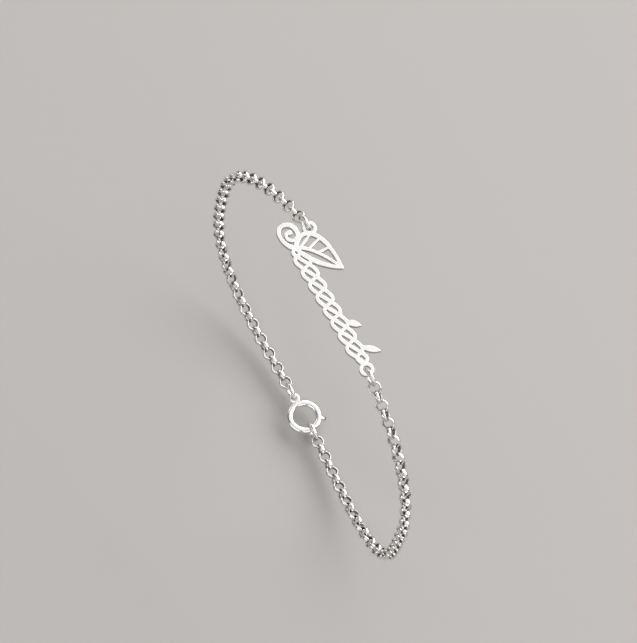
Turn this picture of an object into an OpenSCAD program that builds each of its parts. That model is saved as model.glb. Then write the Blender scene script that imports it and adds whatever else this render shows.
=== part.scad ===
// Nameplate bracelet: a flat pierced plate hung between two runs of fine belcher chain, closed by a ring clasp.
// The loop stands in the XZ plane and is open along Y. The plate lies on top, face up, and the origin is halfway
// between the two sides of the loop, where it is widest.

/* [Loop] */
// Half width of the loop, to the middle of the chain
loop_half_w = 29.3; // [26:0.1:34]
// Height of the loop above its widest place
loop_top_h = 23; // [22:0.2:30]
// Depth of the loop below its widest place
loop_bottom_h = 25.6; // [22:0.2:30]
// How square the upper half is, where 2 is an ellipse
loop_top_n = 2.15; // [2:0.05:2.6]
// How square the lower half is
loop_bottom_n = 3.2; // [2:0.05:3.4]
// How far the sides of the loop hang back along Y
side_sag = 1.7; // [0:0.1:2.4]

/* [Plate] */
// Distance between the middles of the plate's two eyes
eye_span = 22.6; // [20:0.2:26]
// How far the right eye lies below the left one, in the plate's drawing
eye_drop = 2.8; // [2:0.1:3.4]
// Turn of the plate in its own plane
plate_turn = 6.5; // [0:0.5:8]
// Thickness of the sheet
plate_t = 0.6; // [0.5:0.05:1]
// Outer diameter of an eye
eye_od = 2.1; // [1.9:0.05:2.4]
// Hole through an eye
eye_hole = 1.1; // [1:0.02:1.16]

/* [Leaf and scroll] */
// Width of the leaf and scroll together, along the plate
head_w = 9.8; // [9:0.1:10.6]
// Height of the leaf and scroll together
head_h = 6.1; // [5.8:0.1:6.6]
// Reach of the scroll to the left of the left eye
head_left = 2.3; // [2:0.05:2.5]
// Depth of the scroll below the left eye
head_below = 4.6; // [4.4:0.05:4.8]
// Widest part of a stroke
stroke_w = 0.78; // [0.65:0.01:0.9]
// Narrowest part of a stroke
hair_w = 0.4; // [0.36:0.01:0.5]
// Ball at the end of the scroll
ball_d = 0.85; // [0.7:0.05:1]
// Round knot where the leaf, the scroll and the plait meet
knot_d = 0.88; // [0.82:0.02:1]
// Round tip of the leaf
tip_d = 0.56; // [0.52:0.02:0.7]

/* [Plaited band] */
// Height of the plait
band_h = 2.6; // [2.3:0.05:2.9]
// Width of one strand of the plait
strand_w = 0.54; // [0.45:0.01:0.62]
// Length of one full wave of a strand
wave_len = 6.4; // [6:0.1:6.8]
// Lean of the plait, as a share of its height
lean = 0.7; // [0.4:0.05:0.8]
// Length over which the strands come together at each end
band_taper = 1.9; // [1.5:0.1:2.5]
// Width of a small leaf on the band
leaf_w = 0.95; // [0.8:0.05:1.1]

/* [Chain] */
// Outer diameter of a link
link_od = 2; // [1.9:0.01:2.1]
// Width of a link's band, along its own axis
link_w = 0.63; // [0.56:0.01:0.68]
// Thickness of a link's band, from its inside to its outside
link_t = 0.26; // [0.24:0.005:0.28]
// Radius of the rounded inside of the band
link_inner_crown = 0.58; // [0.54:0.01:0.65]
// Radius of the rounded outside of the band
link_outer_crown = 0.6; // [0.5:0.01:0.8]
// Clear space between two pieces that are hooked together
hook_gap = 0.13; // [0.12:0.005:0.16]
// Roll of the links next to the plate, about the chain's own line
first_roll = 24; // [0:1:30]
// Roll of the links along the right side of the loop
right_roll = 75; // [45:1:80]
// Roll of the links along the left side of the loop
left_roll = 45; // [30:1:60]

/* [Jump rings] */
// Outer diameter of a jump ring
ring_od = 2.9; // [2.8:0.05:3.2]
// Wire of a jump ring
ring_wire = 0.45; // [0.4:0.01:0.5]

/* [Clasp] */
// Outer diameter of the clasp
clasp_od = 5.6; // [5.2:0.1:6.5]
// Thickness of the clasp's tube
clasp_tube = 1.1; // [0.9:0.05:1.2]
// Outer diameter of the ring that the clasp closes on
end_ring_od = 3.4; // [3.3:0.05:3.8]
// Wire of the ring that the clasp closes on
end_ring_wire = 0.5; // [0.45:0.01:0.55]
// Outer diameter of the clasp's own small eye
clasp_eye_od = 1.7; // [1.6:0.05:1.9]
// Wire of the clasp's own small eye
clasp_eye_wire = 0.4; // [0.36:0.01:0.42]

/* [Hidden] */
$fn = 48;
silver = "silver";

// Where the eyes sit on the loop
eye_x = eye_span / 2 * cos(plate_turn);
eye_y = eye_span / 2 * sin(plate_turn);
eye_z = loop_top_h * pow(1 - pow(eye_x / loop_half_w, loop_top_n), 1 / loop_top_n);
eye_phi = atan2(eye_x, eye_z);
// How soon each side of the chain lines up again after the turned plate, as a power of the way left to the bottom
line_up_right = 1.5;
line_up_left = 5;

// Distance of the loop from its middle, phi degrees round from the top
function loop_r(phi) =
    let (n = phi < 90 ? loop_top_n : loop_bottom_n, b = phi < 90 ? loop_top_h : loop_bottom_h)
    pow(pow(abs(cos(phi)) / b, n) + pow(abs(sin(phi)) / loop_half_w, n), -1 / n);

// Sideways place of the chain, where side is 1 on the right and -1 on the left. It is 0 at the bottom
function loop_y(side, phi) =
    let (left_over = max(0, (180 - phi) / (180 - eye_phi)))
    -side_sag * pow(sin(180 * left_over), 2)
    - side * eye_y * pow(left_over, side > 0 ? line_up_right : line_up_left);

// A point on one half of the loop. The left half is drawn as a right one and mirrored
function loop_at(side, phi) = [loop_r(phi) * sin(phi), loop_y(side, phi), loop_r(phi) * cos(phi)];

// Length along one half of the loop, from the eye to the bottom, against phi
arc_steps = 240;
function arc_phi(i) = eye_phi + (180 - eye_phi) * i / arc_steps;
function arc_table(side) =
    [for (i = 0, s = 0; i <= arc_steps; s = s + norm(loop_at(side, arc_phi(i + 1)) - loop_at(side, arc_phi(i))),
          i = i + 1) [s, arc_phi(i)]];
arc_right = arc_table(1);
arc_left = arc_table(-1);
function arc_of(side) = side > 0 ? arc_right : arc_left;
function arc_end(side) = arc_of(side)[arc_steps][0];

// Puts a child on the loop, s along from the eye, with its X along the chain and its Z out of the loop
module on_loop(side, s) {
    phi = lookup(s, arc_of(side));
    step = loop_at(side, phi + 0.5) - loop_at(side, phi - 0.5);
    along = step / norm(step);
    mirror([(1 - side) / 2, 0, 0])
        translate(loop_at(side, phi))
            rotate([0, atan2(-along.z, along.x), 0])
                rotate([0, 0, asin(along.y)])
                    children();
}

// Places along the chain, counted from the middle of an eye
ring_mid = (ring_od - ring_wire) / 2;
link_inner = link_od / 2 - link_t;
// A jump ring leans with the loop, so its wire crosses the eye just inside the middle of the hole
ring_s = ring_mid - 0.05;
// The first link is rolled against its jump ring, so it needs a little more room there
first_gap = hook_gap + 0.03;
first_link_s = ring_s + ring_mid - ring_wire / 2 - first_gap + link_inner;

// Places counted from the middle of the clasp
clasp_mid = (clasp_od - clasp_tube) / 2;
clasp_eye_mid = (clasp_eye_od - clasp_eye_wire) / 2;
clasp_eye_x = clasp_od / 2 + clasp_eye_mid - clasp_eye_wire / 4;
clasp_ring_x = clasp_eye_x + clasp_eye_mid - clasp_eye_wire / 2 - hook_gap - ring_wire / 2 + ring_mid;
left_last_x = clasp_ring_x + ring_mid - ring_wire / 2 - hook_gap + link_inner;
end_ring_mid = (end_ring_od - end_ring_wire) / 2;
end_ring_x = clasp_mid - clasp_tube / 2 - hook_gap - end_ring_wire / 2 + end_ring_mid;
right_last_x = end_ring_x + end_ring_mid - end_ring_wire / 2 - hook_gap + link_inner;

// Links from the first to the last, an even number of steps so that both end links lie flat
link_max_pitch = link_od - 2 * link_t - hook_gap;
function run_length(side) = arc_end(side) - first_link_s - (side > 0 ? right_last_x : left_last_x);
function run_steps(side) = 2 * ceil(run_length(side) / 2 / link_max_pitch);

// Roll of link i: it grows over the first links, stays along the side of the loop and is gone at the last link
roll_over = 12;
unroll_over = 24;
function ramp(x) = x < 0 ? 0 : x > 1 ? 1 : x;
function link_roll(side, i) =
    let (side_roll = side > 0 ? right_roll : left_roll)
    min(first_roll + (side_roll - first_roll) * ramp(i / roll_over),
        side_roll * ramp((run_steps(side) - i) / unroll_over));

// Section of a link's band: rounded inside and out, cut to its width
module link_section() {
    intersection() {
        translate([link_inner + link_inner_crown, 0]) circle(r = link_inner_crown);
        translate([link_od / 2 - link_outer_crown, 0]) circle(r = link_outer_crown);
        translate([0, -link_w / 2]) square([link_od, link_w]);
    }
}

module link() {
    rotate_extrude() link_section();
}

module chain_run(side) {
    pitch = run_length(side) / run_steps(side);
    for (i = [0 : run_steps(side)])
        on_loop(side, first_link_s + i * pitch)
            rotate([link_roll(side, i) + (i % 2) * 90, 0, 0])
                link();
}

// Round wire bent to a closed ring, standing on edge along the chain
module wire_ring(mid, wire) {
    rotate([90, 0, 0])
        rotate_extrude()
            translate([mid, 0]) circle(d = wire);
}

// Plate drawing. Its origin is the left eye, its X runs along the band and the right eye lies eye_drop below
right_eye = [sqrt(eye_span * eye_span - eye_drop * eye_drop), -eye_drop];
band_slope = asin(eye_drop / eye_span);
function head_at(share) = [share.x * head_w - head_left, share.y * head_h - head_below];

// A point on a curve with two end points and two handles
function bezier(p, t) =
    pow(1 - t, 3) * p[0] + 3 * pow(1 - t, 2) * t * p[1] + 3 * (1 - t) * t * t * p[2] + pow(t, 3) * p[3];

// The two sides of a line of points, each a half width away
function side_of(points, widths, sign) =
    [for (i = [0 : len(points) - 1])
        let (d = points[min(i + 1, len(points) - 1)] - points[max(i - 1, 0)])
        points[i] + sign * widths[i] / 2 * [-d.y, d.x] / norm(d)];
function reversed(list) = [for (i = [len(list) - 1 : -1 : 0]) list[i]];

// A line of points drawn with a changing width. Its ends lie inside what it meets
module stroke(points, widths) {
    polygon(concat(side_of(points, widths, 1), reversed(side_of(points, widths, -1))));
}

// Strokes: start, its handle, the end's handle and the end, as shares of the head's width and height, then the
// width at the start, the middle and the end as a share between hair and stroke
START = 0;
END = 3;
WIDTHS = 4;
knot_at = [0.43, 0.22];
tip_at = [0.98, 0.97];
LEFT_EDGE = 0;
MIDRIB = 2;
leaf_strokes = [
    // left edge
    [knot_at, [0.12, 0.56], [0.32, 1.05], tip_at, [0.7, 0.8, 0.2]],
    // right edge
    [knot_at, [0.60, 0.30], [0.86, 0.58], tip_at, [0.5, 0.9, 0.2]],
    // midrib
    [knot_at, [0.46, 0.46], [0.70, 0.76], tip_at, [0.7, 0.1, 0]]
];
// The scroll is one stroke, whose turns follow on from each other
scroll_turns = [
    // foot
    [knot_at, [0.36, 0.00], [0.04, -0.08], [0.04, 0.22], [0.9, 0.3, 0.8]],
    // coil
    [[0.04, 0.22], [0.04, 0.50], [0.33, 0.52], [0.31, 0.27], [0.8, 0.8, 0.4]],
    // inner turn
    [[0.31, 0.27], [0.30, 0.12], [0.15, 0.12], [0.165, 0.26], [0.4, 0.2, 0.2]]
];
stroke_steps = 24;
// Middle of the ball that ends the scroll, as shares of the head
ball_at = [0.175, 0.27];
// Side veins, from a share of the midrib to a share of the left edge
veins = [
    [0.13, 0.46],
    [0.33, 0.63],
    [0.53, 0.79]
];

function stroke_point(row, t) = bezier([for (i = [START : END]) head_at(row[i])], t);
function stroke_width(row, t) =
    hair_w + (stroke_w - hair_w) * lookup(t, [[0, row[WIDTHS][0]], [0.5, row[WIDTHS][1]], [1, row[WIDTHS][2]]]);

// One stroke through one or more rows that follow on from each other
module head_stroke(rows) {
    places = [for (r = [0 : len(rows) - 1], i = [(r > 0 ? 1 : 0) : stroke_steps]) [r, i / stroke_steps]];
    stroke([for (p = places) stroke_point(rows[p[0]], p[1])], [for (p = places) stroke_width(rows[p[0]], p[1])]);
}

module vein(row) {
    ends = [stroke_point(leaf_strokes[MIDRIB], row[0]), stroke_point(leaf_strokes[LEFT_EDGE], row[1])];
    stroke(ends, [hair_w, hair_w]);
}

// Plait of three strands from the knot to the right eye
strand_count = 3;
strand_steps_per_wave = 36;
band_start = head_at(knot_at);
band_end = right_eye - [eye_od / 2 - strand_w / 2, 0];
band_len = band_end.x - band_start.x;
band_reach = (band_h - strand_w) / 2;
function band_swell(x) = sin(90 * ramp(min(x, band_len - x) / band_taper));
function band_axis(x) = band_start + (band_end - band_start) * x / band_len;
function strand_at(k, x) =
    let (y = band_reach * band_swell(x) * sin(360 * (x / wave_len + k / strand_count)))
    band_axis(x) + [lean * y, y];

// Middle of the strand at a crest along the plait's upper side, counted from the knot
function crest_at(number) =
    let (x = wave_len * (0.25 + number / strand_count), y = band_reach * band_swell(x))
    band_axis(x) + [lean * y, y];

module strand(k) {
    steps = round(strand_steps_per_wave * band_len / wave_len);
    points = [for (i = [0 : steps]) strand_at(k, band_len * i / steps)];
    stroke(points, [for (p = points) strand_w]);
}

// Small pointed leaf of two arcs, from its root to its tip
module small_leaf(root, tip) {
    chord = norm(tip - root);
    arc_r = (chord * chord / 4 + leaf_w * leaf_w / 4) / leaf_w;
    translate((root + tip) / 2)
        rotate(atan2(tip.y - root.y, tip.x - root.x))
            intersection_for (sign = [-1, 1])
                translate([0, sign * (arc_r - leaf_w / 2)]) circle(r = arc_r, $fn = 96);
}

// Small leaves on the band: the crest that each grows from, its length as a share of the band's height, and
// its direction in degrees. Its root is sunk into the strand by a share of the strand's width
LEAF_CREST = 0;
LEAF_LENGTH = 1;
LEAF_ANGLE = 2;
leaves = [
    [5, 0.9, 48],
    [7, 1.15, 52]
];
leaf_root_sink = 0.4;

// Everything in the plate drawing that is metal, each piece cut from the sheet and joined to the others
module plate_metal() {
    for (row = leaf_strokes) linear_extrude(plate_t) head_stroke([row]);
    linear_extrude(plate_t) head_stroke(scroll_turns);
    for (row = veins) linear_extrude(plate_t) vein(row);
    translate(head_at(knot_at)) cylinder(h = plate_t, d = knot_d);
    translate(head_at(tip_at)) cylinder(h = plate_t, d = tip_d);
    translate(head_at(ball_at)) cylinder(h = plate_t, d = ball_d);
    for (k = [0 : strand_count - 1]) linear_extrude(plate_t) strand(k);
    for (row = leaves)
        let (way = [cos(row[LEAF_ANGLE]), sin(row[LEAF_ANGLE])],
             root = crest_at(row[LEAF_CREST]) - leaf_root_sink * strand_w * way,
             tip = root + row[LEAF_LENGTH] * band_h * way)
        linear_extrude(plate_t) small_leaf(root, tip);
    for (eye = [[0, 0], right_eye])
        translate(eye) cylinder(h = plate_t, d = eye_od);
}

module nameplate() {
    color(silver)
        translate([0, 0, eye_z - plate_t / 2])
            rotate(band_slope - plate_turn)
                translate(-right_eye / 2)
                    difference() {
                        plate_metal();
                        for (eye = [[0, 0], right_eye])
                            translate([eye.x, eye.y, -plate_t]) cylinder(h = 3 * plate_t, d = eye_hole);
                    }
}

module jump_ring_left() {
    color(silver) on_loop(-1, ring_s) wire_ring(ring_mid, ring_wire);
}

module jump_ring_right() {
    color(silver) on_loop(1, ring_s) wire_ring(ring_mid, ring_wire);
}

module chain_left() {
    color(silver) chain_run(-1);
}

module chain_right() {
    color(silver) chain_run(1);
}

// Round clasp with its small eye on the left and a nub for the thumb
nub_d = 0.7;
nub_rise = 0.55;
nub_angle = 60;
// The clasp lies level with the chain where its small eye is
clasp_y = loop_y(0, 180 - atan2(clasp_eye_x, loop_bottom_h));
module clasp() {
    color(silver)
        translate([0, clasp_y, -loop_bottom_h]) {
            rotate_extrude() translate([clasp_mid, 0]) circle(d = clasp_tube);
            translate([-clasp_eye_x, 0, 0])
                rotate_extrude() translate([clasp_eye_mid, 0]) circle(d = clasp_eye_wire);
            rotate(nub_angle)
                translate([clasp_mid, 0, 0])
                    rotate([0, 90, 0]) cylinder(h = clasp_tube / 2 + nub_rise, d = nub_d);
        }
}

module clasp_ring() {
    color(silver) on_loop(-1, arc_end(-1) - clasp_ring_x) wire_ring(ring_mid, ring_wire);
}

module end_ring() {
    color(silver) on_loop(1, arc_end(1) - end_ring_x) wire_ring(end_ring_mid, end_ring_wire);
}

nameplate();
jump_ring_left();
jump_ring_right();
chain_left();
chain_right();
clasp();
clasp_ring();
end_ring();
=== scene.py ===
"""Nameplate bracelet in polished silver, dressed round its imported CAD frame."""

import math
import random

import bmesh
import bpy
import numpy as np
from mathutils import Matrix, Vector


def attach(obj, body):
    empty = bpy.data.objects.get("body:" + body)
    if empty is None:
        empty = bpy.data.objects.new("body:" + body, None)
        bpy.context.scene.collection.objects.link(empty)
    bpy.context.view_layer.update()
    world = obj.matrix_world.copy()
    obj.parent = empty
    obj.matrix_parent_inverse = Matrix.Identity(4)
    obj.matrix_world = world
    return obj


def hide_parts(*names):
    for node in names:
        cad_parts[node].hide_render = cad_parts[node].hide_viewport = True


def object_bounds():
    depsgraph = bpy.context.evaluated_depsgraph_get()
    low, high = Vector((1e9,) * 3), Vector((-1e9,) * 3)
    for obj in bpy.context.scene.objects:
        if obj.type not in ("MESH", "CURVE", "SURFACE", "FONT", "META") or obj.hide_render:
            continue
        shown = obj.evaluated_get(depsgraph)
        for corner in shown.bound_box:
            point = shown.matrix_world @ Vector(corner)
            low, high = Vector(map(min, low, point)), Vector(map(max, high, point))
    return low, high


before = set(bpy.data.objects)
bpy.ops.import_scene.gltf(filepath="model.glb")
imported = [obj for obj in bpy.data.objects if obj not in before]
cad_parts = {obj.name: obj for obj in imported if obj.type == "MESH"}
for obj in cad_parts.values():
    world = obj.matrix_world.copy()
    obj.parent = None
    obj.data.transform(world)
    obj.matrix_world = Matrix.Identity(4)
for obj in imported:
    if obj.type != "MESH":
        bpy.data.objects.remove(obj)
cad_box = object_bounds()

# Camera. It looks down on the plate over the right side of the loop, turned so that the plate runs from the
# upper left of the picture to the lower right, through a long lens as for jewellery.
MM = 0.001
VIEW_AZIMUTH = math.radians(48.8)
VIEW_ELEVATION = math.radians(66.9)
VIEW_ROLL = math.radians(-15.1)
VIEW_DISTANCE = 450 * MM
LOOP_RIGHT = 0.47 * MM
LOOP_DOWN = 4.97 * MM
SENSOR = 36
LONG_SIDE_PX = 643
FOCAL_PX = 3070
CLIP_NEAR = 0.01
CLIP_FAR = 20

back = Vector((math.sin(VIEW_AZIMUTH) * math.cos(VIEW_ELEVATION),
               -math.cos(VIEW_AZIMUTH) * math.cos(VIEW_ELEVATION),
               math.sin(VIEW_ELEVATION)))
level_right = (-back).cross(Vector((0, 0, 1))).normalized()
level_down = (-back).cross(level_right)
right = math.cos(VIEW_ROLL) * level_right + math.sin(VIEW_ROLL) * level_down
down = (-back).cross(right)
camera_data = bpy.data.cameras.new("camera")
camera_data.sensor_width = SENSOR
camera_data.lens = FOCAL_PX * SENSOR / LONG_SIDE_PX
camera_data.clip_start = CLIP_NEAR
camera_data.clip_end = CLIP_FAR
camera = bpy.data.objects.new("camera", camera_data)
camera_place = Matrix.Translation(back * VIEW_DISTANCE - right * LOOP_RIGHT - down * LOOP_DOWN)
camera.matrix_world = camera_place @ Matrix((right, -down, back)).transposed().to_4x4()
bpy.context.scene.collection.objects.link(camera)
bpy.context.scene.camera = camera

# Floor. A plain pale tabletop just under the lowest point of the loop, wide enough for the low views. It is
# part of the stage, not of the bracelet.
FLOOR_GAP = 0.4 * MM
FLOOR_HALF = 3.0
FLOOR_COLOUR = (0.35, 0.335, 0.323, 1)
FLOOR_ROUGHNESS = 0.75

floor_z = cad_box[0].z - FLOOR_GAP
floor_corners = [(x * FLOOR_HALF, y * FLOOR_HALF, floor_z) for x, y in ((-1, -1), (1, -1), (1, 1), (-1, 1))]
floor_mesh = bpy.data.meshes.new("floor")
floor_mesh.from_pydata(floor_corners, [], [(0, 1, 2, 3)])
floor = bpy.data.objects.new("floor", floor_mesh)
bpy.context.scene.collection.objects.link(floor)
floor_paint = bpy.data.materials.new("floor_paint")
floor_paint.use_nodes = True
floor_shader = floor_paint.node_tree.nodes["Principled BSDF"]
floor_shader.inputs["Base Color"].default_value = FLOOR_COLOUR
floor_shader.inputs["Roughness"].default_value = FLOOR_ROUGHNESS
floor_mesh.materials.append(floor_paint)

# Studio light. A wide soft box hangs overhead, where the plate's face mirrors it to the camera. The key
# light stands beyond the loop, with a box at each side and a strip in front. The dark gaps between them, and
# a room that is bright overhead and dark at its walls, draw the silver's edges.

# Each row: name, direction from the loop, distance, width and height in metres, and power in watts
SOFT_BOXES = (
    ("top_light", (0, 0, 1), 1.1, 1.60, 1.40, 5.6),
    ("key_light", (-0.12, 0.76, 0.60), 1.2, 2.20, 0.85, 26.0),
    ("side_right", (0.93, -0.05, 0.40), 1.3, 1.10, 0.70, 4.0),
    ("side_left", (-0.95, -0.05, 0.36), 1.3, 1.10, 0.60, 3.0),
    ("strip_front", (0.30, -0.98, 0.40), 1.3, 1.30, 0.34, 4.0),
)
ROOM_LOW = (0.11, 0.11, 0.112, 1)
ROOM_LOW_AT = 0.12
ROOM_HIGH = (0.30, 0.30, 0.305, 1)
ROOM_HIGH_AT = 0.95

for name, direction, distance, width, height, power in SOFT_BOXES:
    light = bpy.data.lights.new(name, "AREA")
    light.shape = "RECTANGLE"
    light.size = width
    light.size_y = height
    light.energy = power
    box = bpy.data.objects.new(name, light)
    away = Vector(direction).normalized()
    box.location = away * distance
    box.rotation_mode = "QUATERNION"
    box.rotation_quaternion = away.to_track_quat("Z", "Y")
    bpy.context.scene.collection.objects.link(box)

world = bpy.data.worlds.new("room")
bpy.context.scene.world = world
world.use_nodes = True
room = world.node_tree
room_direction = room.nodes.new("ShaderNodeTexCoord")
room_height = room.nodes.new("ShaderNodeSeparateXYZ")
room_ramp = room.nodes.new("ShaderNodeValToRGB")
room_steps = ((ROOM_LOW_AT, ROOM_LOW), (ROOM_HIGH_AT, ROOM_HIGH))
for element, (place, colour) in zip(room_ramp.color_ramp.elements, room_steps):
    element.position = place
    element.color = colour
room.links.new(room_direction.outputs["Generated"], room_height.inputs["Vector"])
room.links.new(room_height.outputs["Z"], room_ramp.inputs["Fac"])
room.links.new(room_ramp.outputs["Color"], room.nodes["Background"].inputs["Color"])
bpy.context.scene.view_settings.view_transform = "Standard"

# Nameplate. A flat sheet of sterling silver, pierced through with a laser and polished, so that its face is
# mirror bright with softly rounded rims and its cut walls keep fine upright lines. The walls are painted
# darker than the face, as painted shade along the cut edges. Its eyes take the jump rings.
PLATE_RIM = 0.055 * MM
PLATE_RIM_STEPS = 2
# Distances in metres within which CAD points are one, lie on one level, or are joined in a finished mesh
SAME_POINT = 1e-7
SAME_LEVEL = 1e-6
JOIN_WITHIN = 5e-7


def welded(node):
    """Vertices and triangles of a CAD node with its loose triangles joined."""
    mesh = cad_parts[node].data
    points = np.empty(len(mesh.vertices) * 3)
    mesh.vertices.foreach_get("co", points)
    points = points.reshape(-1, 3)
    corners = np.array([list(p.vertices) for p in mesh.polygons])
    steps = np.round(points / SAME_POINT)
    _, first, joined = np.unique(steps, axis=0, return_index=True, return_inverse=True)
    return points[first], joined.reshape(-1)[corners]


def chained(edges):
    """Closed loops of point numbers from the directed edges of an outline."""
    following = dict(edges)
    loops = []
    while following:
        start, point = following.popitem()
        loop = [start]
        while point != start:
            loop.append(point)
            point = following.pop(point)
        loops.append(loop)
    return loops


plate_points, plate_faces = welded("nameplate")
plate_low = plate_points[:, 2].min()
plate_top = plate_points[:, 2].max()
on_top = np.abs(plate_points[:, 2] - plate_top) < SAME_LEVEL
top_faces = plate_faces[on_top[plate_faces].all(axis=1)]
directed = {(int(a), int(b)) for f in top_faces for a, b in zip(f, np.roll(f, -1))}
outlines = chained([(a, b) for a, b in directed if (b, a) not in directed])

plate_curve = bpy.data.curves.new("plate_outline", "CURVE")
plate_curve.dimensions = "2D"
plate_curve.fill_mode = "BOTH"
plate_curve.extrude = (plate_top - plate_low) / 2 - PLATE_RIM
plate_curve.bevel_depth = PLATE_RIM
plate_curve.bevel_resolution = PLATE_RIM_STEPS
plate_curve.offset = -PLATE_RIM
for outline in outlines:
    spline = plate_curve.splines.new("POLY")
    spline.points.add(len(outline) - 1)
    for point, number in zip(spline.points, outline):
        point.co = (*plate_points[number][:2], 0, 1)
    spline.use_cyclic_u = True
plate_former = bpy.data.objects.new("plate_former", plate_curve)
bpy.context.scene.collection.objects.link(plate_former)


def joined_up(mesh):
    """Join doubled points, turn every face outwards and shade the mesh smooth."""
    work = bmesh.new()
    work.from_mesh(mesh)
    bmesh.ops.remove_doubles(work, verts=work.verts, dist=JOIN_WITHIN)
    bmesh.ops.recalc_face_normals(work, faces=work.faces)
    for face in work.faces:
        face.smooth = True
    work.to_mesh(mesh)
    work.free()


def placed(name, mesh):
    """A new object at the origin for a finished mesh."""
    piece = bpy.data.objects.new(name, mesh)
    bpy.context.scene.collection.objects.link(piece)
    return piece


def made(former):
    """The plain mesh that an object with a curve or modifiers comes out as. The object is removed."""
    mesh = bpy.data.meshes.new_from_object(former.evaluated_get(bpy.context.evaluated_depsgraph_get()))
    bpy.data.objects.remove(former)
    return mesh


plate_mesh = made(plate_former)
plate_mesh.transform(Matrix.Translation((0, 0, (plate_low + plate_top) / 2)))
joined_up(plate_mesh)
plate = placed("pierced_plate", plate_mesh)

POLISH_DEPTH = 0.002 * MM
LINE_CROSSING = -1.7
LINE_DETAIL = 2
LINE_ROUGHNESS = 0.05
CLOUDS_PER_METRE = 0.9 / MM
CLOUD_DETAIL = 3
WALL_SLOPE = 0.35
FACE_SLOPE = 1 - 1e-4


def maths(tree, operation, *values):
    """The result of a new Math node. Each value is a number or the output of another node."""
    node = tree.nodes.new("ShaderNodeMath")
    node.operation = operation
    for socket, value in zip(node.inputs, values):
        if isinstance(value, (int, float)):
            socket.default_value = value
        else:
            tree.links.new(value, socket)
    return node.outputs[0]


def silver_group():
    """Node group for silver: polishing lines and a faint haze, with painted shade, darker and rougher, where
    its polish input is below 1.
    """
    group = bpy.data.node_groups.new("silver_finish", "ShaderNodeTree")
    for name, kind, value in (("Place", "NodeSocketVector", None),
                              ("Reach", "NodeSocketFloat", 1.0),
                              ("Bright", "NodeSocketColor", (0.95, 0.94, 0.92, 1)),
                              ("Dull", "NodeSocketColor", (0.5, 0.47, 0.44, 1)),
                              ("Gloss", "NodeSocketFloat", 0.1),
                              ("Matt", "NodeSocketFloat", 0.4),
                              ("Line Width", "NodeSocketFloat", 0.04),
                              ("Haze", "NodeSocketFloat", 0.15),
                              ("Turn", "NodeSocketFloat", 0.5),
                              ("Grain", "NodeSocketVector", (0.06, 1, 1))):
        item = group.interface.new_socket(name=name, in_out="INPUT", socket_type=kind)
        if value is not None:
            item.default_value = value
    for name, kind in (("Colour", "NodeSocketColor"),
                       ("Roughness", "NodeSocketFloat"),
                       ("Height", "NodeSocketFloat")):
        group.interface.new_socket(name=name, in_out="OUTPUT", socket_type=kind)
    nodes = group.nodes
    links = group.links
    given = nodes.new("NodeGroupInput")
    result = nodes.new("NodeGroupOutput")

    # Two crossing sets of long fine lines, as wide as Line Width says in millimetres
    lines_per_metre = maths(group, "DIVIDE", 1 / MM, given.outputs["Line Width"])
    scratches = []
    for share in (1, LINE_CROSSING):
        mapping = nodes.new("ShaderNodeMapping")
        heading = nodes.new("ShaderNodeCombineXYZ")
        links.new(maths(group, "MULTIPLY", given.outputs["Turn"], share), heading.inputs["Z"])
        links.new(heading.outputs["Vector"], mapping.inputs["Rotation"])
        links.new(given.outputs["Grain"], mapping.inputs["Scale"])
        links.new(given.outputs["Place"], mapping.inputs["Vector"])
        noise = nodes.new("ShaderNodeTexNoise")
        noise.inputs["Detail"].default_value = LINE_DETAIL
        links.new(mapping.outputs["Vector"], noise.inputs["Vector"])
        links.new(lines_per_metre, noise.inputs["Scale"])
        scratches.append(noise.outputs["Fac"])
    lines = maths(group, "MULTIPLY", maths(group, "ADD", *scratches), 0.5)
    cloud = nodes.new("ShaderNodeTexNoise")
    cloud.inputs["Scale"].default_value = CLOUDS_PER_METRE
    cloud.inputs["Detail"].default_value = CLOUD_DETAIL
    links.new(given.outputs["Place"], cloud.inputs["Vector"])

    # How far each place falls short of a full polish, painted shade included, from 0 to 1
    haze = maths(group, "MULTIPLY", maths(group, "ADD", cloud.outputs["Fac"], lines), given.outputs["Haze"])
    dullness_and_painted_shade = maths(group, "SUBTRACT", maths(group, "ADD", haze, 1), given.outputs["Reach"])
    dullness_and_painted_shade.node.use_clamp = True
    colour = nodes.new("ShaderNodeMix")
    colour.data_type = "RGBA"
    links.new(dullness_and_painted_shade, colour.inputs["Factor"])
    links.new(given.outputs["Bright"], colour.inputs["A"])
    links.new(given.outputs["Dull"], colour.inputs["B"])
    rough = nodes.new("ShaderNodeMix")
    links.new(dullness_and_painted_shade, rough.inputs["Factor"])
    links.new(given.outputs["Gloss"], rough.inputs["A"])
    links.new(given.outputs["Matt"], rough.inputs["B"])
    scratched = maths(group, "ADD", rough.outputs["Result"], maths(group, "MULTIPLY", lines, LINE_ROUGHNESS))
    links.new(colour.outputs["Result"], result.inputs["Colour"])
    links.new(scratched, result.inputs["Roughness"])
    links.new(lines, result.inputs["Height"])
    return group


silver_finish = silver_group()


def silver(name, reach=None, **values):
    """A silver material. reach names the attribute that sets painted shade and less polish at each place, 1
    for none.
    """
    material = bpy.data.materials.new(name)
    material.use_nodes = True
    nodes = material.node_tree.nodes
    links = material.node_tree.links
    shader = nodes["Principled BSDF"]
    shader.inputs["Metallic"].default_value = 1
    finish = nodes.new("ShaderNodeGroup")
    finish.node_tree = silver_finish
    for key, value in values.items():
        finish.inputs[key.replace("_", " ").title()].default_value = value
    place = nodes.new("ShaderNodeTexCoord")
    links.new(place.outputs["Object"], finish.inputs["Place"])
    if reach:
        attribute = nodes.new("ShaderNodeAttribute")
        attribute.attribute_name = reach
        links.new(attribute.outputs["Fac"], finish.inputs["Reach"])
    bump = nodes.new("ShaderNodeBump")
    bump.inputs["Distance"].default_value = POLISH_DEPTH
    links.new(finish.outputs["Height"], bump.inputs["Height"])
    links.new(finish.outputs["Colour"], shader.inputs["Base Color"])
    links.new(finish.outputs["Roughness"], shader.inputs["Roughness"])
    links.new(bump.outputs["Normal"], shader.inputs["Normal"])
    return material


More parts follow.
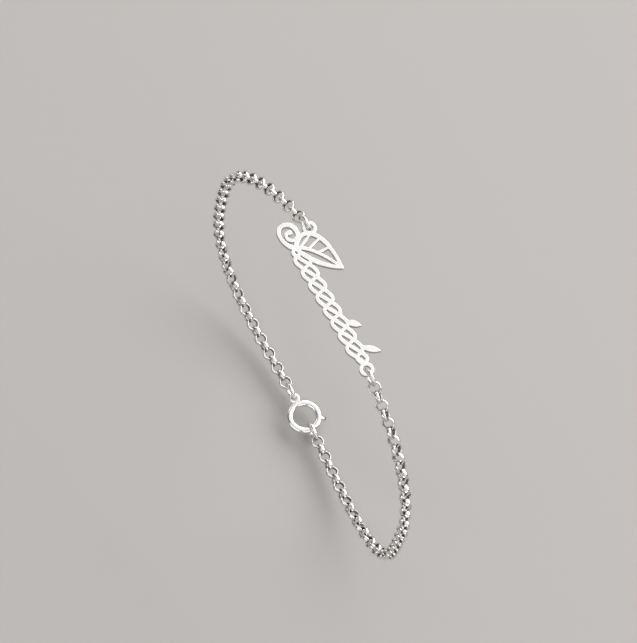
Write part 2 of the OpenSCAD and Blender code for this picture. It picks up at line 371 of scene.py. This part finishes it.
plate_silver = silver("plate_silver", bright=(0.98, 0.97, 0.955, 1), dull=(0.20, 0.19, 0.18, 1),
                      gloss=0.12, matt=0.45, haze=0.22, line_width=0.05)
# Painted shade: the cut walls' silver is darker than the face, to draw the sheet's edges as dark lines
wall_silver_painted_shade = silver("wall_silver_painted_shade", bright=(0.46, 0.44, 0.42, 1),
                     gloss=0.26, haze=0.3, line_width=0.045, turn=0.0, grain=(1, 1, 0.03))
plate_mesh.materials.clear()
plate_mesh.materials.append(plate_silver)
plate_mesh.materials.append(wall_silver_painted_shade)
# The walls take the darker silver, the painted shade along the cut edges
for face in plate_mesh.polygons:
    face.use_smooth = abs(face.normal.z) < FACE_SLOPE
    face.material_index = int(abs(face.normal.z) < WALL_SLOPE)
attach(plate, "root")
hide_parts("nameplate")

# Jump rings. Round silver wire, sawn off a coil and closed through the plate's eyes and the chain's first
# links, each ring with its fine cut still to be seen. The two rings at the clasp are made alike.
RING_CUT = 0.05 * MM
RING_STEPS = 56
WIRE_STEPS = 14
CUT_TURN = {"jump_ring_left": 100, "jump_ring_right": 75, "clasp_ring": 200, "end_ring": 120}


def shells_of(node):
    """The closed solids of a CAD node, each as its points and triangles."""
    points, faces = welded(node)
    label = np.arange(len(points))
    while True:
        lowest = label.copy()
        np.minimum.at(lowest, faces, label[faces].min(axis=1)[:, None])
        lowest = lowest[lowest]
        if (lowest == label).all():
            break
        label = lowest
    return [(points, faces[label[faces[:, 0]] == number]) for number in np.unique(label[faces])]


def ring_facts(points, faces):
    """Middle, axis, outer radius and half width of a ring, from its triangles."""
    corners = points[faces]
    middles = corners.mean(axis=1)
    areas = np.linalg.norm(np.cross(corners[:, 1] - corners[:, 0], corners[:, 2] - corners[:, 0]), axis=1)
    centre = (middles * areas[:, None]).sum(axis=0) / areas.sum()
    spread = middles - centre
    _, directions = np.linalg.eigh((spread * areas[:, None]).T @ spread)
    axis = directions[:, 0]
    offsets = points[np.unique(faces)] - centre
    along = offsets @ axis
    outer = np.linalg.norm(offsets - along[:, None] * axis, axis=1).max()
    return centre, axis, outer, np.abs(along).max()


def input_sockets(tree, rows):
    """Named inputs of a Geometry Nodes tree, and the identifier of each for its modifier."""
    tree.is_modifier = True
    tree.interface.new_socket(name="Geometry", in_out="INPUT", socket_type="NodeSocketGeometry")
    tree.interface.new_socket(name="Geometry", in_out="OUTPUT", socket_type="NodeSocketGeometry")
    identifiers = {}
    for name, kind in rows:
        item = tree.interface.new_socket(name=name, in_out="INPUT", socket_type="NodeSocket" + kind)
        identifiers[name] = item.identifier
    return identifiers


def stored(tree, name, kind="FLOAT"):
    """The values that the geometry carries under a name."""
    node = tree.nodes.new("GeometryNodeInputNamedAttribute")
    node.data_type = kind
    node.inputs["Name"].default_value = name
    return node.outputs["Attribute"]


def laid_on_spots(tree, shape, given):
    """The last nodes of a tree: a ring on each point, turned as the point says, then made a smooth mesh."""
    turn = tree.nodes.new("FunctionNodeAxesToRotation")
    turn.primary_axis = "Z"
    turn.secondary_axis = "X"
    for socket, name in zip(turn.inputs, ("axis", "seam")):
        tree.links.new(stored(tree, name, "FLOAT_VECTOR"), socket)
    spots = tree.nodes.new("GeometryNodeInstanceOnPoints")
    tree.links.new(given.outputs["Geometry"], spots.inputs["Points"])
    tree.links.new(shape, spots.inputs["Instance"])
    tree.links.new(turn.outputs["Rotation"], spots.inputs["Rotation"])
    real = tree.nodes.new("GeometryNodeRealizeInstances")
    tree.links.new(spots.outputs["Instances"], real.inputs["Geometry"])
    smooth = tree.nodes.new("GeometryNodeSetShadeSmooth")
    tree.links.new(real.outputs["Geometry"], smooth.inputs["Geometry"])
    metal = tree.nodes.new("GeometryNodeSetMaterial")
    tree.links.new(smooth.outputs["Geometry"], metal.inputs["Geometry"])
    tree.links.new(given.outputs["Material"], metal.inputs["Material"])
    result = tree.nodes.new("NodeGroupOutput")
    tree.links.new(metal.outputs["Geometry"], result.inputs["Geometry"])


def ring_tree():
    """Round wire along a circle that stops short of itself by the saw's cut."""
    tree = bpy.data.node_groups.new("cut_wire_ring", "GeometryNodeTree")
    names = input_sockets(tree, (("Ring Radius", "Float"), ("Wire Radius", "Float"), ("Cut Angle", "Float"),
                                 ("Ring Steps", "Int"), ("Wire Steps", "Int"), ("Material", "Material")))
    nodes = tree.nodes
    links = tree.links
    given = nodes.new("NodeGroupInput")
    arc = nodes.new("GeometryNodeCurveArc")
    links.new(given.outputs["Ring Steps"], arc.inputs["Resolution"])
    links.new(given.outputs["Ring Radius"], arc.inputs["Radius"])
    sweep = maths(tree, "SUBTRACT", 2 * math.pi, given.outputs["Cut Angle"])
    links.new(sweep, arc.inputs["Sweep Angle"])
    wire = nodes.new("GeometryNodeCurvePrimitiveCircle")
    links.new(given.outputs["Wire Steps"], wire.inputs["Resolution"])
    links.new(given.outputs["Wire Radius"], wire.inputs["Radius"])
    bent = nodes.new("GeometryNodeCurveToMesh")
    bent.inputs["Fill Caps"].default_value = True
    links.new(arc.outputs["Curve"], bent.inputs["Curve"])
    links.new(wire.outputs["Curve"], bent.inputs["Profile Curve"])
    laid_on_spots(tree, bent.outputs["Mesh"], given)
    return tree, names


def strung(name, tree, names, centres, axes, seams, values):
    """The plain mesh of a tree's rings, set out on points that carry their directions."""
    spots = bpy.data.meshes.new(name + "_spots")
    spots.from_pydata([tuple(c) for c in centres], [], [])
    for key, vectors in (("axis", axes), ("seam", seams)):
        carried = spots.attributes.new(key, "FLOAT_VECTOR", "POINT")
        carried.data.foreach_set("vector", np.array(vectors).ravel())
    former = placed(name + "_former", spots)
    modifier = former.modifiers.new("rings", "NODES")
    modifier.node_group = tree
    for key, value in values.items():
        modifier[names[key]] = value
    return made(former)


def upright_seam(axis, degrees):
    """The direction of a ring's seam: so many degrees round its axis from straight up."""
    up = Vector((0, 0, 1)) - Vector(axis) * axis[2]
    return Matrix.Rotation(math.radians(degrees), 3, Vector(axis)) @ up.normalized()


ring_silver = silver("ring_silver", bright=(0.92, 0.905, 0.885, 1), gloss=0.09, haze=0.2, line_width=0.06)
wire_ring, wire_ring_inputs = ring_tree()
for node, degrees in CUT_TURN.items():
    centre, axis, outer, half_wire = ring_facts(*shells_of(node)[0])
    ring_radius = outer - half_wire
    seam = upright_seam(axis, degrees)
    ring_mesh = strung(node, wire_ring, wire_ring_inputs, [centre], [axis], [seam], {
        "Ring Radius": ring_radius, "Wire Radius": half_wire, "Cut Angle": RING_CUT / ring_radius,
        "Ring Steps": RING_STEPS, "Wire Steps": WIRE_STEPS, "Material": ring_silver})
    joined_up(ring_mesh)
    ring = placed("wire_" + node, ring_mesh)
    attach(ring, "root")
    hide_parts(node)

# Chain. Fine belcher chain: short links bent from flat-sided wire with a rounded face, hooked through each
# other, soldered shut at one side and tumbled bright. Their insides are painted darker, as painted shade,
# and are rougher, and their solder joints are a little darker.
LINK_STEPS = 28
BAND_STEPS = 10
LINK_THICKNESS = 0.29 * MM
BAND_SQUARENESS = 2.2
LINK_SWING = 1.0
SOLDER_DULL = 0.3
# Painted shade and lesser polish across a band, from its inside out: darkest and roughest inside
SHADE_AND_POLISH_FROM_INSIDE = (("From Min", -0.75), ("From Max", 0.1), ("To Min", 0.25), ("To Max", 1.0))
SEED = 7


def marked(tree, geometry, name, value):
    """The geometry with a value stored on its points under a name."""
    node = tree.nodes.new("GeometryNodeStoreNamedAttribute")
    node.inputs["Name"].default_value = name
    tree.links.new(geometry, node.inputs["Geometry"])
    tree.links.new(value, node.inputs["Value"])
    return node.outputs["Geometry"]


def link_tree():
    """A flat-sided, rounded band round a circle, laid on every point."""
    tree = bpy.data.node_groups.new("belcher_links", "GeometryNodeTree")
    names = input_sockets(tree, (("Band Radius", "Float"), ("Half Thickness", "Float"),
                                 ("Half Width", "Float"), ("Squareness", "Float"),
                                 ("Link Steps", "Int"), ("Band Steps", "Int"), ("Material", "Material")))
    nodes = tree.nodes
    links = tree.links
    given = nodes.new("NodeGroupInput")

    # The band's section: a circle of radius 1, squared off and stretched to its thickness and width
    section = nodes.new("GeometryNodeCurvePrimitiveCircle")
    section.inputs["Radius"].default_value = 1
    links.new(given.outputs["Band Steps"], section.inputs["Resolution"])
    place = nodes.new("GeometryNodeInputPosition")
    parts = nodes.new("ShaderNodeSeparateXYZ")
    links.new(place.outputs["Position"], parts.inputs["Vector"])
    power = maths(tree, "DIVIDE", 2, given.outputs["Squareness"])
    whole = nodes.new("ShaderNodeCombineXYZ")
    for part, size in (("X", "Half Thickness"), ("Y", "Half Width")):
        reach = maths(tree, "POWER", maths(tree, "ABSOLUTE", parts.outputs[part]), power)
        signed = maths(tree, "MULTIPLY", reach, maths(tree, "SIGN", parts.outputs[part]))
        links.new(maths(tree, "MULTIPLY", signed, given.outputs[size]), whole.inputs[part])
    # Painted shade: the band's inside gets a lower value, so it comes out darker and rougher
    inside = nodes.new("ShaderNodeMapRange")
    links.new(parts.outputs["X"], inside.inputs["Value"])
    for key, value in SHADE_AND_POLISH_FROM_INSIDE:
        inside.inputs[key].default_value = value
    wheeled = marked(tree, section.outputs["Curve"], "inside_shade_and_polish", inside.outputs["Result"])
    shaped = nodes.new("GeometryNodeSetPosition")
    links.new(wheeled, shaped.inputs["Geometry"])
    links.new(whole.outputs["Vector"], shaped.inputs["Position"])

    # The link's circle, with the solder joint on its first point
    circle = nodes.new("GeometryNodeCurvePrimitiveCircle")
    links.new(given.outputs["Link Steps"], circle.inputs["Resolution"])
    links.new(given.outputs["Band Radius"], circle.inputs["Radius"])
    number = nodes.new("GeometryNodeInputIndex")
    first_point = maths(tree, "COMPARE", number.outputs["Index"], 0, 0.5)
    soldered = marked(tree, circle.outputs["Curve"], "solder", first_point)
    band = nodes.new("GeometryNodeCurveToMesh")
    links.new(soldered, band.inputs["Curve"])
    links.new(shaped.outputs["Geometry"], band.inputs["Profile Curve"])

    # Painted shade and less polish on the inside of the band, and a darker solder joint
    spot = maths(tree, "MULTIPLY", stored(tree, "solder"), SOLDER_DULL)
    polish_and_painted_shade = maths(tree, "SUBTRACT", stored(tree, "inside_shade_and_polish"), spot)
    laid_on_spots(tree, marked(tree, band.outputs["Mesh"], "reach", polish_and_painted_shade), given)
    return tree, names


def in_order(facts, start):
    """The rings of a run from the one nearest to start onwards, each followed by its nearest neighbour."""
    left = list(facts)
    run = []
    place = start
    while left:
        nearest = min(left, key=lambda ring: np.linalg.norm(ring[0] - place))
        left = [ring for ring in left if ring is not nearest]
        run.append(nearest)
        place = nearest[0]
    return run


# The dark colour paints shade into the links' insides; at the solder joints it is their own darker colour
chain_silver = silver("chain_silver", reach="reach", bright=(0.92, 0.905, 0.885, 1),
                      dull=(0.16, 0.145, 0.135, 1), gloss=0.15, matt=0.35, haze=0.15, line_width=0.06)
link_rings, link_inputs = link_tree()
dice = random.Random(SEED)
for node, name, jump_ring in (("chain_left", "left_links", "jump_ring_left"),
                              ("chain_right", "right_links", "jump_ring_right")):
    start = ring_facts(*shells_of(jump_ring)[0])[0]
    facts = in_order([ring_facts(*shell) for shell in shells_of(node)], start)
    centres, axes, outers, half_widths = zip(*facts)
    swung = []
    seams = []
    for number, axis in enumerate(axes):
        lean = Vector([dice.gauss(0, 1) for _ in range(3)]).normalized()
        swung.append(Matrix.Rotation(math.radians(LINK_SWING), 3, lean) @ Vector(axis))
        along = Vector(centres[min(number + 1, len(facts) - 1)] - centres[max(number - 1, 0)])
        seams.append(swung[-1].cross(along).normalized() * dice.choice((-1, 1)))
    link_mesh = strung(name, link_rings, link_inputs, centres, swung, seams, {
        "Band Radius": outers[0] - LINK_THICKNESS / 2, "Half Thickness": LINK_THICKNESS / 2,
        "Half Width": half_widths[0], "Squareness": BAND_SQUARENESS, "Link Steps": LINK_STEPS,
        "Band Steps": BAND_STEPS, "Material": chain_silver})
    joined_up(link_mesh)
    run = placed(name, link_mesh)
    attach(run, "root")
    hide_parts(node)

# Clasp. A plain round clasp of silver tube, with the small eye that its ring holds and a nub to open it by.
# It sits at the bottom of the loop, where it is seldom seen, so it is left plain and simply polished.
clasp_silver = silver("clasp_silver", bright=(0.93, 0.92, 0.90, 1), gloss=0.12, haze=0.2, line_width=0.06)
clasp_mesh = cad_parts["clasp"].data.copy()
joined_up(clasp_mesh)
clasp_mesh.materials.clear()
clasp_mesh.materials.append(clasp_silver)
clasp = placed("ring_clasp", clasp_mesh)
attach(clasp, "root")
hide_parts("clasp")
